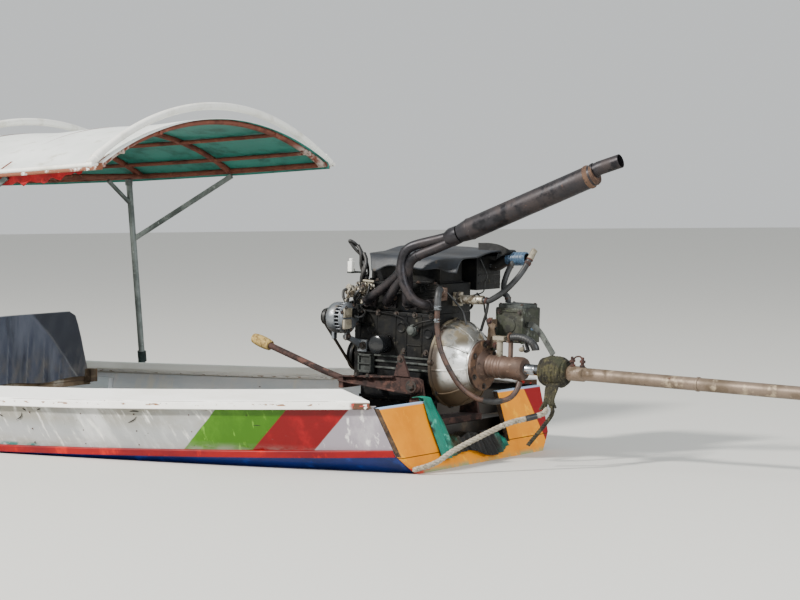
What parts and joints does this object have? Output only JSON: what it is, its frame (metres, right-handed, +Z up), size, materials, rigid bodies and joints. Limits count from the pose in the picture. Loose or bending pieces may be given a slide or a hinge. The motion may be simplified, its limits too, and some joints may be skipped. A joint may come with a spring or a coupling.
{
  "type": "longtail boat",
  "caption": "Wooden longtail passenger boat with a pipe-framed canopy and a car engine on a swivel that turns a propeller on a long tail tube.",
  "frame": {"origin": "on the waterline and the centreline, at mid hull length between the transom's top edge and the bow's tip", "axes": "+X towards the bow, +Y to port, +Z up; the water surface is z = 0"},
  "size_m": [12.2873, 1.7128, 1.6395],
  "materials": {
    "white_paint": "chalky white paint on wood, chipped at the edges",
    "blue_paint": "royal blue paint on wood",
    "red_paint": "red paint on wood",
    "orange_paint": "orange paint on wood",
    "bare_wood": "weathered boards",
    "canopy_sheet": "white coated sheet, teal underside",
    "brown_steel": "red-brown primer on pipe",
    "grey_steel": "dull galvanised pipe",
    "white_plastic": "plastic water pipe",
    "black_iron": "oily black castings",
    "rubber_sheet": "dull rubber sheet",
    "exhaust_steel": "heat-browned pipe",
    "cast_alloy": "stained casting, polished where rubbed",
    "brown_alloy": "brown-stained casting",
    "rusty_steel": "rusted steel",
    "beige_steel": "scuffed beige paint on pipe",
    "old_rope": "mossy old rope",
    "white_rope": "laid white rope",
    "green_tarp": "oil-stained coated cloth",
    "blue_cloth": "dark blue woven cloth",
    "rubber_hose": "old rubber",
    "bronze": "worn bronze"
  },
  "bodies": {
    "hull": {"side_plank_port": "white_paint", "side_plank_starboard": "white_paint", "bilge_plank_port": "blue_paint", "bilge_plank_starboard": "blue_paint", "bottom_plank": "blue_paint", "transom": "orange_paint", "bow_block": "white_paint", "gunwale_cap_port": "white_paint", "gunwale_cap_starboard": "white_paint", "chine_rail_port": "red_paint", "chine_rail_starboard": "red_paint", "floor_frames": "bare_wood", "floorboards": "bare_wood", "riser_port": "white_paint", "riser_starboard": "white_paint", "foredeck": "bare_wood", "engine_beam": "bare_wood", "seat_1": "bare_wood", "seat_2": "bare_wood", "seat_3": "bare_wood", "seat_cloth": "blue_cloth", "motor_tarp": "green_tarp", "stern_rope": "white_rope", "canopy_frame": "brown_steel", "canopy_sheet": "canopy_sheet", "canopy_hoops": "white_plastic", "post_1_port": "grey_steel", "post_1_starboard": "grey_steel", "post_2_port": "grey_steel", "post_2_starboard": "grey_steel", "post_3_port": "grey_steel", "post_3_starboard": "grey_steel"},
    "swivel": {"swivel_yoke": "rusty_steel"},
    "engine": {"engine_block": "black_iron", "cylinder_head": "black_iron", "intake": "black_iron", "engine_cover": "rubber_sheet", "exhaust_header": "exhaust_steel", "silencer": "exhaust_steel", "bell_housing": "cast_alloy", "shaft_housing": "brown_alloy", "gear_pump": "cast_alloy", "oil_filter": "black_iron", "crank_pulley": "black_iron", "pump_pulley": "black_iron", "alternator": "cast_alloy", "alternator_bracket": "cast_alloy", "water_outlet": "cast_alloy", "reservoir": "white_plastic", "starter_motor": "black_iron", "vent_hose": "rubber_hose", "fan_belt": "rubber_hose", "coolant_hose": "rubber_hose", "filler_neck": "rubber_hose", "cradle": "rusty_steel", "tiller": "rusty_steel", "rope_wrap": "old_rope", "tail_tube": "beige_steel"},
    "propeller": {"propeller": "bronze"}
  },
  "joints": [
    {"name": "steer", "type": "hinge", "parent": "hull", "child": "swivel", "pos_m": [-4.43, 0, 0.315], "axis": [0, 0, 1], "range_deg": [-25, 25], "deforming": ["stern_rope"]},
    {"name": "tilt", "type": "hinge", "parent": "swivel", "child": "engine", "pos_m": [-4.43, 0, 0.315], "axis": [0, 1, 0], "range_deg": [-10, 10]},
    {"name": "propeller_spin", "type": "hinge", "parent": "engine", "child": "propeller", "pos_m": [-7.71346, 0, 0.26501], "axis": [0.9992, 0, 0.0401], "continuous": true}
  ]
}
